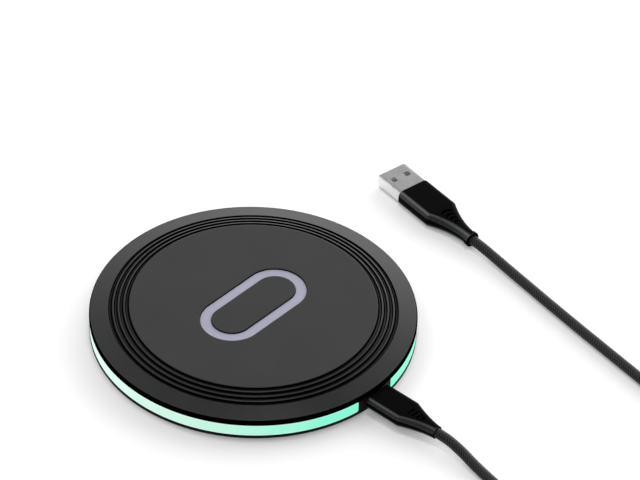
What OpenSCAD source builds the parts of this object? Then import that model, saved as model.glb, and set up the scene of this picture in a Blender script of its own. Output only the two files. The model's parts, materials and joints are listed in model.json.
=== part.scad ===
// Round wireless charging pad with a light ring round its rim, and the braided
// USB-C to USB-A lead that plugs into it. Millimetres. The origin is on the
// surface that the pad stands on, under the pad's centre, +Z is up, and the
// port and its lead leave towards -Y.

/* [Pad] */
// Diameter over the top cover's rim
pad_d = 110; // [100:1:120]
// Height of the flat top disc above the table
pad_h = 10.6; // [10.2:0.1:12]
// Height of the rim's upper edge above the table
rim_h = 7.8; // [7.6:0.1:8.2]
// Wall thickness of the covers
wall = 1.8; // [1.4:0.1:2]
// How far the rubber foot stands out below the bottom cover
foot_drop = 0.2; // [0.2:0.1:0.6]

/* [Top grooves] */
// Radius of the innermost groove
groove_r = 42.3; // [41.8:0.1:42.5]
// Distance from one groove to the next
groove_pitch = 1.88; // [1.7:0.02:1.9]
// Width of a groove at its top
groove_w = 1.36; // [0.96:0.02:1.36]
// Depth of a groove
groove_depth = 0.5; // [0.3:0.05:0.9]

/* [Grip ring] */
// Length over the ring's outer edge
grip_l = 42.7; // [36:0.1:46]
// Width over the ring's outer edge
grip_w = 21.2; // [18:0.1:24]
// Width of the ring's band
grip_band = 3.75; // [2.5:0.05:4]
// How far the ring lies below the disc
grip_sunk = 0.4; // [0.1:0.05:0.5]

/* [Light ring] */
// Height of the light guide's lower edge
light_z0 = 1.4; // [1.3:0.05:1.7]
// Height of the light guide's upper edge
light_z1 = 5.8; // [5.8:0.1:6.2]
// Width of the dark bridge between the light guide's ends, at the port
bridge_w = 16; // [15:0.5:20]
// Number of light-emitting diodes round the ring
led_count = 18; // [6:1:24]

/* [Port] */
// Height of the port's centre above the table
port_z = 3.9; // [3.8:0.05:4]

/* [Cable] */
// Diameter of the braided cord
cord_d = 3.6; // [3.2:0.1:3.6]
// Radius of the coil's outermost turn, at the cord's centre
coil_r = 26; // [25:0.5:27]

/* [Hidden] */
$fn = 96;

pad_r = pad_d / 2;
eps = 0.01;

// Heights inside the pad
base_z = foot_drop;
floor_z = 1.75;
board_z = 2.6;
board_t = 1;
board_top = board_z + board_t;
roof_z = pad_h - wall;
seam_z = light_z1;

// Radii inside the pad
base_r = pad_r - 0.1;
base_chamfer = 0.15;
groove_slope = 0.45;
rim_chamfer_w = 0.35;
rim_chamfer_h = 0.4;
disc_r = groove_r - 0.9;
band_r = 48.9;
band_z = 9;
wall_out_r = 50;
wall_in_r = 48.6;
guide_out_r = pad_r - 0.2;
guide_in_r = pad_r - 2.6;
board_r = 42.5;
screw_r = 46;
screw_angles = [45, 135, 225, 315];
foot_in_r = 43;
foot_out_r = 50;
foot_t = 1;

// Screws: case screws join the covers from below, board screws hold the board
case_shank_r = 1;
case_head_r = 1.8;
case_head_z = foot_t;
case_head_h = 0.85;
case_seat_z = 3;
case_screw_top = 6.6;
post_r = 2.5;
board_shank_r = 0.7;
board_head_r = 1.5;
board_head_h = 0.7;
board_screw_r = 36;
board_screw_angles = [20, 140, 200, 320];

// Coil stack, from the roof down
adhesive_t = 0.2;
coil_t = 1.1;
ferrite_t = 1;
tray_t = 0.8;
adhesive_z = roof_z - adhesive_t;
winding_z = adhesive_z - coil_t;
ferrite_z = winding_z - ferrite_t;
tray_z = ferrite_z - tray_t;
ferrite_r = 25.5;
tray_r = 27;
winding_in_r = 10;
winding_turns = 10;
winding_pitch = 1.35;
winding_w = 1.15;
leg_r = 1.6;
leg_place_r = 24;

// Receptacle and plug sizes of the small reversible connector
port_in_w = 8.34;
port_in_h = 2.56;
port_wall = 0.3;
port_mouth_y = -(pad_r - 0.8);
port_back_y = -47.5;
tongue_w = 6.69;
tongue_t = 0.7;
tongue_tip_y = -53;
plug_w = 8.25;
plug_h = 2.4;
plug_wall = 0.25;
plug_tip_y = -48.65;
plug_slot_gap = 0.08;

// Plug moulding at the pad's end of the lead, measured from its front face
c_front_y = -(pad_r + 0.35);
c_body_w = 11.2;
c_body_h = 4.6;
c_edge_r = 1.9;
c_body_l = 13.2;
c_taper_l = 12.6;
c_tail_d = 4.5;
c_end_y = c_front_y - c_body_l - c_taper_l;
shell_embed = 1.7;
c_slot_w = 0.85;
c_slot_pitch = 1.7;
c_slot_start = 1.4;
c_slot_lengths = [3.4, 3, 2.6, 1.7];
c_slot_depth = 0.6;

// Plug moulding at the far end, in a frame with the shell's mouth at zero and
// the lead leaving towards -Y
a_mouth = [91.4, 18.3];
a_turn = -10;
a_shell_w = 12;
a_shell_h = 4.5;
a_shell_wall = 0.3;
a_shell_l = 11.8;
a_embed = 3;
a_body_w = 13.2;
a_body_h = 5.8;
a_edge_r = 2.4;
a_body_l = 15.5;
a_taper_l = 15.8;
a_collar_l = 1.5;
a_tail_d = 5;
a_collar_d = 5.6;
a_slot_start = 3.4;
a_slot_pitch = 2.05;
a_slot_w = 0.95;
a_slot_lengths = [5, 4.25, 3.5, 2.75];
a_slot_depth = 0.9;
a_axis_z = a_body_h / 2;
a_core_h = 1.9;
a_core_low = a_axis_z - a_shell_h / 2 + a_shell_wall + 0.02;
window = 2;
window_x = 2.9;
window_y = -5.1;

// The lead: from the plug moulding to the coil, the coil, and from the coil to
// the far plug. The points are the cord's centreline.
cord_r = cord_d / 2;
coil_c = [34, -179];
coil_turn_w = 3.65;
coil_span = 2.5 * coil_turn_w;
tie_w = 6;
tie_t = 0.8;
lead_route = [
    [0, -81.2, 3.9], [0, -86, 3.7], [-0.5, -92, 2.9], [-1.6, -98, 2.1], [-3, -105, 1.8],
    [-4.9, -115, 1.8], [-6.2, -126, 1.8], [-6.4, -137, 1.8], [-5.5, -148, 1.8], [-3.4, -159, 1.8],
    [0.1, -170, 1.8], [5, -181, 1.8], [11.5, -192, 1.8]
];
tail_route = [
    [60, -179, 5.4], [60, -171, 5], [60.5, -163, 3.8], [61.5, -154, 2.4], [62.8, -145, 1.8],
    [64.3, -136, 1.8], [65.8, -127, 1.8], [67.4, -118, 1.8], [69, -109, 1.8],
    [70.6, -100, 1.8], [72.2, -91, 1.8], [73.8, -82, 1.8], [75.5, -73, 1.8], [77.2, -64, 1.8],
    [79, -55, 1.8], [80.7, -46, 1.9], [82.1, -38, 2.2], [83.1, -31, 2.7], [83.7, -25.9, 2.9]
];

// Height of the sloping top surface at a radius: the flat disc, the grooved
// band and the outer ring
function top_z(r) =
    r <= disc_r ? pad_h :
    r <= band_r ? pad_h + (band_z - pad_h) * (r - disc_r) / (band_r - disc_r) :
    band_z + (rim_h - band_z) * (r - band_r) / (pad_r - band_r);

function groove_at(k) = groove_r + k * groove_pitch;

// Sweep of a round section along a list of centreline points
function unit(v) = v / norm(v);
function heading(p, i) =
    unit(p[min(i + 1, len(p) - 1)] - p[max(i - 1, 0)]);
function ring_points(p, i, r, sides) =
    let (
        along = heading(p, i),
        side = unit(cross(along, [0, 0, 1])),
        up = cross(side, along)
    )
    [for (k = [0 : sides - 1]) p[i] + r * (cos(360 * k / sides) * side + sin(360 * k / sides) * up)];

module tube(path, r, sides = 8) {
    rings = len(path);
    points = [for (i = [0 : rings - 1]) each ring_points(path, i, r, sides)];
    near_cap = [for (k = [sides - 1 : -1 : 0]) k];
    far_cap = [for (k = [0 : sides - 1]) (rings - 1) * sides + k];
    sides_faces = [
        for (i = [0 : rings - 2])
        for (k = [0 : sides - 1])
        [i * sides + k, i * sides + (k + 1) % sides, (i + 1) * sides + (k + 1) % sides,
         (i + 1) * sides + k]
    ];
    polyhedron(points, concat([near_cap], [far_cap], sides_faces));
}

// Flat ring between two radii and two heights
module band_ring(r_in, r_out, z0, z1) {
    rotate_extrude()
        polygon([[r_in, z0], [r_out, z0], [r_out, z1], [r_in, z1]]);
}

// Rectangle with round corners, about the origin
module round_rect(w, h, r) {
    square([w - 2 * r, h], center = true);
    if (h > 2 * r + eps)
        square([w, h - 2 * r], center = true);
    for (x = [-1, 1])
        for (y = [-1, 1])
            translate([x * (w / 2 - r), y * (h / 2 - r)]) circle(r = r);
}

// A round_rect bar that runs from y towards -Y
module bar(w, h, r, y, l, z) {
    translate([0, y, z])
        rotate([90, 0, 0])
            linear_extrude(l) round_rect(w, h, r);
}

// Stadium outline whose long axis is along X
module stadium(l, w) {
    square([l - w, w], center = true);
    for (x = [-1, 1])
        translate([x * (l - w) / 2, 0]) circle(d = w);
}

// Places children at a radius and a list of angles
module around(r, angles) {
    for (a = angles)
        rotate([0, 0, a])
            translate([r, 0, 0]) children();
}

// Space between the light guide's ends
module bridge_gap(w, z0, z1) {
    translate([-w / 2, -pad_r - 1, z0]) cube([w, 12, z1 - z0]);
}

// ---- Pad: covers -------------------------------------------------------

module bottom_cover() {
    bridge_in_y = -49;
    color([0.07, 0.07, 0.075])
    difference() {
        union() {
            rotate_extrude()
                polygon([
                    [0, base_z], [base_r - base_chamfer, base_z],
                    [base_r, base_z + base_chamfer], [base_r, light_z0],
                    [guide_in_r - 0.05, light_z0], [guide_in_r - 0.05, floor_z], [0, floor_z]
                ]);
            difference() {
                band_ring(wall_in_r, wall_out_r, floor_z - eps, seam_z + 0.5);
                bridge_gap(bridge_w, floor_z, seam_z + 1);
            }
            intersection() {
                band_ring(wall_in_r, guide_out_r, light_z0 - eps, seam_z);
                bridge_gap(bridge_w - 0.3, light_z0 - eps, seam_z);
            }
            around(screw_r, screw_angles)
                translate([0, 0, floor_z - eps]) cylinder(r = 3.2, h = case_seat_z - floor_z);
            around(board_screw_r, board_screw_angles)
                translate([0, 0, floor_z - eps]) cylinder(r = 2.4, h = board_z - floor_z);
        }
        band_ring(foot_in_r, foot_out_r, base_z - eps, foot_t);
        around(screw_r, screw_angles) {
            translate([0, 0, foot_t - eps]) cylinder(r = case_head_r + 0.1, h = case_head_h + eps);
            translate([0, 0, foot_t]) cylinder(r = case_shank_r + 0.1, h = case_seat_z);
        }
        around(board_screw_r, board_screw_angles)
            translate([0, 0, 1]) cylinder(r = board_shank_r, h = 3);
        bar(port_in_w + 2 * port_wall + 0.1, port_in_h + 2 * port_wall + 0.1, 1.6,
            bridge_in_y + 2, 12, port_z);
        translate([-8.1, -51.1, board_z]) cube([16.2, 4, board_t + 2.5]);
    }
}

module foot_ring() {
    color([0.05, 0.05, 0.05])
    rotate_extrude()
        polygon([
            [foot_in_r + 0.1, 0.3], [foot_in_r + 0.4, 0], [foot_out_r - 0.4, 0],
            [foot_out_r - 0.1, 0.3], [foot_out_r - 0.1, foot_t], [foot_in_r + 0.1, foot_t]
        ]);
}

module top_cover() {
    last_groove = 3;
    grooves = [
        for (k = [0 : last_groove])
        let (a = groove_at(k) - groove_w / 2, b = groove_at(k) + groove_w / 2)
        each [
            [a, top_z(a)], [a + groove_slope, top_z(a) - groove_depth],
            [b - groove_slope, top_z(b) - groove_depth], [b, top_z(b)]
        ]
    ];
    outline = concat(
        [[0, roof_z], [0, pad_h], [disc_r, pad_h]],
        grooves,
        [
            [band_r, band_z], [pad_r - rim_chamfer_w, top_z(pad_r - rim_chamfer_w)],
            [pad_r, rim_h - rim_chamfer_h],
            [pad_r, seam_z], [wall_out_r + 0.15, seam_z], [wall_out_r + 0.15, 6.9],
            [41, roof_z]
        ]
    );
    color([0.16, 0.16, 0.165])
    difference() {
        union() {
            rotate_extrude() polygon(outline);
            around(screw_r, screw_angles)
                translate([0, 0, case_seat_z]) cylinder(r = post_r, h = 8 - case_seat_z);
        }
        around(screw_r, screw_angles)
            translate([0, 0, case_seat_z - eps]) cylinder(r = case_shank_r, h = 4);
        translate([0, 0, pad_h - grip_sunk - 0.6])
            linear_extrude(2)
                difference() {
                    stadium(grip_l, grip_w);
                    stadium(grip_l - 2 * grip_band, grip_w - 2 * grip_band);
                }
    }
}

module grip_ring() {
    fit_gap = 0.03;
    color([0.6, 0.6, 0.66])
    translate([0, 0, pad_h - grip_sunk - 0.6])
        linear_extrude(0.6)
            difference() {
                stadium(grip_l - 2 * fit_gap, grip_w - 2 * fit_gap);
                stadium(grip_l - 2 * grip_band + 2 * fit_gap, grip_w - 2 * grip_band + 2 * fit_gap);
            }
}

// ---- Pad: light ring ---------------------------------------------------

module light_guide() {
    color([0.7, 0.97, 0.88])
    difference() {
        band_ring(guide_in_r, guide_out_r, light_z0, light_z1);
        bridge_gap(bridge_w, 0, pad_h);
    }
}

module led_flex() {
    color([0.9, 0.88, 0.8])
    difference() {
        band_ring(50.3, 50.6, 2.1, 5.7);
        bridge_gap(bridge_w + 1, 0, pad_h);
    }
}

module leds() {
    // The diodes are spread evenly over the ring outside the bridge.
    first = -75;
    step = 330 / (led_count - 1);
    color([1, 0.95, 0.75])
    for (k = [0 : led_count - 1])
        rotate([0, 0, first + k * step])
            translate([50.65, -1.4, 3.1]) cube([0.8, 2.8, 1.6]);
}

// ---- Pad: electronics --------------------------------------------------

module main_board() {
    color([0.05, 0.3, 0.16])
    translate([0, 0, board_z])
        linear_extrude(board_t)
            difference() {
                union() {
                    circle(r = board_r);
                    translate([-8, -51]) square([16, 12]);
                }
                translate([-4.6, -52]) square([9.2, 6]);
                for (a = board_screw_angles)
                    rotate(a) translate([board_screw_r, 0]) circle(r = board_shank_r + 0.1);
            }
}

module board_screws() {
    color([0.75, 0.75, 0.78])
    around(board_screw_r, board_screw_angles)
        difference() {
            union() {
                translate([0, 0, 1.1]) cylinder(r = board_shank_r - 0.02, h = board_top - 1.1);
                translate([0, 0, board_top]) cylinder(r = board_head_r, h = board_head_h);
            }
            translate([-1.1, -0.2, board_top + 0.35]) cube([2.2, 0.4, 1]);
            translate([-0.2, -1.1, board_top + 0.35]) cube([0.4, 2.2, 1]);
        }
}

module case_screws() {
    color([0.3, 0.3, 0.32])
    around(screw_r, screw_angles)
        difference() {
            union() {
                translate([0, 0, case_head_z]) cylinder(r = case_head_r, h = case_head_h);
                translate([0, 0, case_head_z])
                    cylinder(r = case_shank_r - 0.02, h = case_screw_top - case_head_z);
            }
            translate([-1.3, -0.25, case_head_z - eps]) cube([2.6, 0.5, 0.5]);
            translate([-0.25, -1.3, case_head_z - eps]) cube([0.5, 2.6, 0.5]);
        }
}

module port_shell() {
    l = port_back_y - port_mouth_y;
    color([0.75, 0.76, 0.78])
    difference() {
        bar(port_in_w + 2 * port_wall, port_in_h + 2 * port_wall, port_in_h / 2 + port_wall,
            port_back_y, l, port_z);
        bar(port_in_w, port_in_h, port_in_h / 2, port_back_y - port_wall, l, port_z);
    }
}

module port_tongue() {
    base_y = port_back_y - port_wall;
    base_l = 0.6;
    color([0.1, 0.1, 0.1])
    union() {
        bar(port_in_w - 0.04, port_in_h - 0.04, port_in_h / 2 - 0.02, base_y, base_l, port_z);
        bar(tongue_w, tongue_t, 0.2, base_y - 0.1, base_y - 0.1 - tongue_tip_y, port_z);
    }
}

// Plain chip body on the board, centred on x, y
module chip(x, y, w, l, h) {
    translate([x - w / 2, y - l / 2, board_top]) cube([w, l, h]);
}

module controller_ic() {
    color([0.08, 0.08, 0.09])
    chip(14, -33, 7, 7, 0.9);
}

module bridge_mosfets() {
    color([0.12, 0.12, 0.13])
    for (x = [-3, 3])
        for (y = [-36, -30])
            chip(x, y, 3.3, 3.3, 0.9);
}

module power_inductor() {
    color([0.3, 0.3, 0.32])
    difference() {
        chip(-15, -33, 6.6, 6.6, 2.8);
        translate([-15, -33, board_top + 2.4]) cylinder(r = 2.4, h = 1);
    }
}

module resonant_capacitors() {
    color([0.75, 0.68, 0.55])
    for (k = [0 : 3])
        chip(33, -9 + 6 * k, 3.2, 2.5, 2.2);
}

module bulk_capacitors() {
    color([0.85, 0.75, 0.35])
    for (k = [0 : 1])
        chip(-21.5 - 6 * k, -26 + 7 * k, 3.4, 6.2, 2.4);
}

module crystal() {
    color([0.8, 0.8, 0.82])
    chip(22, -27, 3.2, 2.5, 0.8);
}

module chip_passives() {
    // Small resistors and capacitors in two rows near the controller
    color([0.55, 0.42, 0.3])
    for (k = [0 : 5])
        for (y = [-40, 30])
            chip(-7.5 + 3 * k, y, 1.6, 0.8, 0.7);
}

module led_connector() {
    color([0.92, 0.92, 0.88])
    difference() {
        chip(0, 38, 7, 4, 2.6);
        translate([-3, 38.5, board_top + 0.6]) cube([6, 2, 1.5]);
    }
}

// ---- Pad: charging coil ------------------------------------------------

module coil_bracket() {
    color([0.15, 0.15, 0.16])
    difference() {
        union() {
            translate([0, 0, tray_z]) cylinder(r = tray_r, h = tray_t);
            band_ring(ferrite_r + 0.2, tray_r, tray_z, ferrite_z + ferrite_t);
            around(leg_place_r, [90, 210, 330])
                translate([0, 0, board_top]) cylinder(r = leg_r, h = tray_z - board_top + eps);
        }
        translate([0, 0, tray_z - 1]) cylinder(r = 8, h = 3);
    }
}

module ferrite_shield() {
    color([0.22, 0.22, 0.23])
    translate([0, 0, ferrite_z]) cylinder(r = ferrite_r, h = ferrite_t);
}

// Flat spiral of stranded wire: an inner and an outer edge worked out by rule
module transmitter_coil() {
    steps = 24 * winding_turns;
    inner = [
        for (i = [0 : steps])
        let (a = 360 * i / 24, r = winding_in_r + winding_pitch * a / 360)
        r * [cos(a), sin(a)]
    ];
    outer = [
        for (i = [steps : -1 : 0])
        let (a = 360 * i / 24, r = winding_in_r + winding_w + winding_pitch * a / 360)
        r * [cos(a), sin(a)]
    ];
    color([0.72, 0.4, 0.2])
    translate([0, 0, winding_z])
        linear_extrude(coil_t) polygon(concat(inner, outer));
}

module coil_adhesive() {
    color([0.85, 0.82, 0.7])
    band_ring(9, 25.5, adhesive_z, roof_z);
}

module coil_leads() {
    // Both ends of the winding run over the bracket's edge and down to the board.
    wire_r = 0.5;
    wire_z = winding_z + wire_r + 0.04;
    start_x = 24.7;
    down_x = 29;
    color([0.72, 0.4, 0.2])
    for (y = [-1.6, 1.6]) {
        translate([start_x, y, wire_z])
            rotate([0, 90, 0]) cylinder(r = wire_r, h = down_x - start_x, $fn = 24);
        translate([down_x, y, board_top]) cylinder(r = wire_r, h = wire_z - board_top, $fn = 24);
        translate([down_x, y, wire_z]) sphere(r = wire_r, $fn = 24);
    }
}

module thermistor() {
    color([0.1, 0.1, 0.12])
    translate([0, 0, ferrite_z + ferrite_t]) {
        translate([0, 0, 0.5]) cylinder(r = 1.4, h = 0.5, center = true);
        translate([1, -0.4, 0.3]) cube([7, 0.8, 0.4]);
    }
}

// ---- Cable: plug at the pad --------------------------------------------

module usb_c_shell() {
    l = plug_tip_y - c_front_y + shell_embed;
    color([0.78, 0.79, 0.8])
    difference() {
        bar(plug_w, plug_h, plug_h / 2, plug_tip_y, l, port_z);
        bar(plug_w - 2 * plug_wall, plug_h - 2 * plug_wall, plug_h / 2 - plug_wall,
            plug_tip_y + 1, l + 2, port_z);
    }
}

module usb_c_core() {
    w = plug_w - 2 * plug_wall;
    h = plug_h - 2 * plug_wall;
    slot_l = plug_tip_y - tongue_tip_y + 0.3;
    color([0.1, 0.1, 0.1])
    difference() {
        bar(w - 0.02, h - 0.02, h / 2 - 0.01, plug_tip_y - 0.1,
            plug_tip_y - c_front_y + shell_embed - 0.1, port_z);
        bar(tongue_w + 2 * plug_slot_gap, tongue_t + 2 * plug_slot_gap, 0.2, plug_tip_y + 1,
            slot_l + 1, port_z);
    }
}

module usb_c_overmold() {
    taper_y = c_front_y - c_body_l;
    color([0.1, 0.1, 0.105])
    difference() {
        union() {
            bar(c_body_w, c_body_h, c_edge_r, c_front_y, c_body_l, port_z);
            hull() {
                bar(c_body_w, c_body_h, c_edge_r, taper_y + eps, eps, port_z, $fn = 32);
                bar(c_tail_d + 1.6, c_tail_d + 0.1, 2, taper_y - 6.5, eps, port_z, $fn = 32);
            }
            hull() {
                bar(c_tail_d + 1.6, c_tail_d + 0.1, 2, taper_y - 6.5, eps, port_z, $fn = 32);
                bar(c_tail_d, c_tail_d, c_tail_d / 2 - eps, c_end_y + eps, eps, port_z, $fn = 32);
            }
        }
        bar(plug_w, plug_h, plug_h / 2, c_front_y + 1, shell_embed + 1, port_z);
        for (k = [0 : len(c_slot_lengths) - 1])
            for (side = [-1, 1])
                translate([0, taper_y - c_slot_start - k * c_slot_pitch, port_z + side * c_body_h / 2])
                    cube([c_slot_lengths[k], c_slot_w, 2 * c_slot_depth], center = true);
    }
}

// ---- Cable: cord, coil and tie -----------------------------------------

module cord_lead() {
    color([0.12, 0.12, 0.125])
    tube(lead_route, cord_r);
}

module cord_tail() {
    color([0.12, 0.12, 0.125])
    tube(tail_route, cord_r);
}

// Hollow band round the turns, where the coil is tied
module tie_shape(extra_in) {
    r0 = coil_r - coil_span - cord_r;
    r1 = coil_r + cord_r;
    h = 2 * cord_d + tie_t;
    translate([coil_c[0], coil_c[1], 0])
        difference() {
            translate([-tie_w / 2, -r1 - tie_t, 0]) cube([tie_w, r1 - r0 + 2 * tie_t, h + tie_t]);
            translate([-tie_w / 2 - 1, -r1 + extra_in, tie_t])
                cube([tie_w + 2, r1 - r0 - 2 * extra_in, h - tie_t]);
        }
}

module cord_coil() {
    r0 = coil_r - coil_span - cord_r;
    r1 = coil_r + cord_r;
    h = 2 * cord_d;
    edge = 1.2;
    color([0.12, 0.12, 0.125])
    difference() {
        translate([coil_c[0], coil_c[1], 0])
            rotate_extrude()
                polygon([
                    [r0 + edge, 0], [r1 - edge, 0], [r1, edge], [r1, h - edge], [r1 - edge, h],
                    [r0 + edge, h], [r0, h - edge], [r0, edge]
                ]);
        tie_shape(0);
    }
}

module cord_tie() {
    color([0.06, 0.06, 0.06])
    tie_shape(0);
}

// ---- Cable: plug at the far end ----------------------------------------

// Turns a shape made in the far plug's own frame to where the plug lies
module place_a() {
    translate([a_mouth[0], a_mouth[1], 0]) rotate([0, 0, a_turn]) children();
}

module usb_a_overmold() {
    front = -a_shell_l;
    taper = front - a_body_l;
    steps = 5;
    // Share of the way from the body's section to the tail's, for a hollow taper
    function ease(k) = 1 - pow(1 - k / steps, 1.8);
    function section_w(k) = a_body_w + (a_tail_d - a_body_w) * ease(k);
    function section_h(k) = a_body_h + (a_tail_d - a_body_h) * ease(k);
    function section_r(k) = a_edge_r + (a_tail_d / 2 - eps - a_edge_r) * ease(k);
    color([0.08, 0.08, 0.085])
    place_a()
    difference() {
        union() {
            bar(a_body_w, a_body_h, a_edge_r, front, a_body_l, a_axis_z);
            for (k = [0 : steps - 1])
                hull() {
                    bar(section_w(k), section_h(k), section_r(k), taper - a_taper_l * k / steps + eps,
                        eps, a_axis_z, $fn = 32);
                    bar(section_w(k + 1), section_h(k + 1), section_r(k + 1),
                        taper - a_taper_l * (k + 1) / steps + eps, eps, a_axis_z, $fn = 32);
                }
            translate([0, taper - a_taper_l + eps, a_axis_z])
                rotate([90, 0, 0]) cylinder(d = a_collar_d, h = a_collar_l);
        }
        bar(a_shell_w, a_shell_h, 0.6, front + 1, a_embed + 1, a_axis_z);
        for (k = [0 : len(a_slot_lengths) - 1])
            for (side = [-1, 1])
                translate([
                    0, taper - a_slot_start - k * a_slot_pitch, a_axis_z + side * a_body_h / 2
                ])
                    cube([a_slot_lengths[k], a_slot_w, 2 * a_slot_depth], center = true);
    }
}

module usb_a_shell() {
    color([0.78, 0.79, 0.8])
    place_a()
    difference() {
        bar(a_shell_w, a_shell_h, 0.6, 0, a_shell_l + a_embed, a_axis_z);
        bar(a_shell_w - 2 * a_shell_wall, a_shell_h - 2 * a_shell_wall, 0.3, 1,
            a_shell_l + a_embed + 2, a_axis_z);
        for (x = [-window_x, window_x])
            translate([x, window_y, a_axis_z]) cube([window, window, a_shell_h + 1], center = true);
    }
}

module usb_a_core() {
    w = a_shell_w - 2 * a_shell_wall - 0.04;
    color([0.9, 0.9, 0.88])
    place_a()
    bar(w, a_core_h, 0.3, -0.4, a_shell_l + a_embed - 0.5, a_core_low + a_core_h / 2);
}

module usb_a_contacts() {
    color([0.85, 0.65, 0.25])
    place_a()
    for (x = [-3.5, -1, 1, 3.5])
        translate([x - 0.5, -9, a_core_low + a_core_h]) cube([1, 7.4, 0.12]);
}

bottom_cover();
foot_ring();
top_cover();
grip_ring();
light_guide();
led_flex();
leds();
main_board();
board_screws();
case_screws();
port_shell();
port_tongue();
controller_ic();
bridge_mosfets();
power_inductor();
resonant_capacitors();
bulk_capacitors();
crystal();
chip_passives();
led_connector();
coil_bracket();
ferrite_shield();
transmitter_coil();
coil_adhesive();
coil_leads();
thermistor();
usb_c_shell();
usb_c_core();
usb_c_overmold();
cord_lead();
cord_coil();
cord_tail();
cord_tie();
usb_a_overmold();
usb_a_shell();
usb_a_core();
usb_a_contacts();
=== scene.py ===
"""The looks of a round wireless charging pad with a glowing rim, and of its braided lead.

Shapes are written in millimetres and become metres as they turn into meshes. The origin is on the
table under the pad's centre, +Z is up, and the port faces -Y.
"""

import json
import math

import bmesh
import bpy
from mathutils import Matrix, Quaternion, Vector


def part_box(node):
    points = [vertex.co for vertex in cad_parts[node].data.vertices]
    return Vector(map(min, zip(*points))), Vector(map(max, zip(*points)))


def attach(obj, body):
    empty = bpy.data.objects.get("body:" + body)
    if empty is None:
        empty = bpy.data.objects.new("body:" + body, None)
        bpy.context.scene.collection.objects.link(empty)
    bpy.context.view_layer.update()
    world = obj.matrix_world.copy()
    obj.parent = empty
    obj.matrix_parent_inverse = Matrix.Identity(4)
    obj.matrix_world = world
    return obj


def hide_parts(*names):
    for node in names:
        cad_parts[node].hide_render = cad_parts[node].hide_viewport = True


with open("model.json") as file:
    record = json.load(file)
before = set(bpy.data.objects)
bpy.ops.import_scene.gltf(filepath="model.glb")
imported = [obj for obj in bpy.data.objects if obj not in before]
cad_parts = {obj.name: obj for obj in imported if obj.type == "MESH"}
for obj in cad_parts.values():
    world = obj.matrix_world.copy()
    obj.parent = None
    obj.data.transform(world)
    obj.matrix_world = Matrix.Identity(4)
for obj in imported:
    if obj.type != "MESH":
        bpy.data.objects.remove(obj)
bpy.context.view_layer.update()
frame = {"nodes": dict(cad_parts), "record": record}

MM = 0.001
SLOTS = {part["node"]: part["material_slot"] for part in frame["record"]["subparts"]}
MOUNTS = {mount["name"]: mount for mount in frame["record"]["mounts"]}


def box_mm(node):
    """A CAD node's lowest and highest corners in millimetres."""
    low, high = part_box(node)
    return low / MM, high / MM


# ---- Sizes, in millimetres, as the CAD part has them -----------------------

PAD_R = box_mm("top_cover")[1].x
PAD_TOP = box_mm("top_cover")[1].z
LIGHT_LOW, LIGHT_HIGH = box_mm("light_guide")[0].z, box_mm("light_guide")[1].z
GUIDE_OUT_R = box_mm("light_guide")[1].x
GUIDE_DEPTH = 2.6
GUIDE_IN_R = PAD_R - GUIDE_DEPTH
BRIDGE_W = 16
DISC_R = 41.4
GROOVE_R, GROOVE_PITCH, GROOVE_COUNT = 42.3, 1.88, 4
GROOVE_W, GROOVE_FLOOR_W, GROOVE_DEPTH = 1.36, 0.46, 0.5
GROOVE_INNER_FILLET, GROOVE_OUTER_FILLET, GROOVE_FLOOR_FILLET = 0.22, 0.1, 0.08
BAND_R, BAND_Z = 48.9, 9.0
RIM_Z = 7.8
RIM_CHAMFER_W, RIM_CHAMFER_H = 0.35, 0.4
DISC_FILLET, BAND_FILLET, RIM_FILLET = 3, 1, 0.12
ROOF_R, ROOF_Z = 41, PAD_TOP - 1.8
STEP_R, STEP_Z = GUIDE_IN_R - 2.2, 6.9
GRIP_L, GRIP_W, GRIP_BAND, GRIP_SUNK, GRIP_T = 42.7, 21.2, 3.75, 0.4, 0.6
POST_ANGLES, POST_PLACE_R = (45, 135, 225, 315), 46
POST_R, POST_LOW, POST_HIGH = 2.5, 3, 8
BORE_R, BORE_TOP = 1, 7
FOOT_W = 6.8
FOOT_GROOVES_AT, FOOT_GROOVE_W, FOOT_GROOVE_Z = (2.1, 4.3), 0.5, 0.22

C_LOW, C_HIGH = box_mm("usb_c_overmold")
C_BODY = (11.2, 4.6, 1.9)
C_BODY_L = 13.2
C_TAIL_D = 4.5
C_TAPER_POWER = 1.5
C_SLOT_LENGTHS, C_SLOT_W = (3.4, 3, 2.6, 1.7), 0.85
C_SLOT_START, C_SLOT_PITCH, C_SLOT_BOW = 1.4, 1.7, 0
C_SLOT_FROM_MIDDLE = (1.5, 3.4)
PORT_Z = 3.9

A_MOUTH = Vector(MOUNTS["usb_a_plug"]["pos_m"]) / MM
A_AXIS = Vector(MOUNTS["usb_a_plug"]["axis"])
A_TURN = math.atan2(-A_AXIS.x, A_AXIS.y)
A_SHELL = (12, 4.5, 0.6)
A_SHELL_WALL, A_SHELL_L, A_EMBED = 0.3, 11.8, 3
A_BODY = (13.2, 5.8, 2.2)
A_BODY_L, A_TAPER_L, A_COLLAR_L = 15.5, 15.8, 1.5
A_TAIL_D, A_COLLAR_D = 5, 5.6
A_TAPER_POWER = 1.9
A_SLOT_LENGTHS, A_SLOT_W = (5, 4.25, 3.5, 2.75), 0.95
A_SLOT_START, A_SLOT_PITCH, A_SLOT_BOW = 3.4, 2.05, 1.3
A_SLOT_FROM_MIDDLE = (1.75, 4)
WINDOW, WINDOW_X, WINDOW_Y = 2, 2.9, -5.1
A_SHELL_BEVEL, A_SHELL_BEVEL_DEG = 0.07, 50

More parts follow.
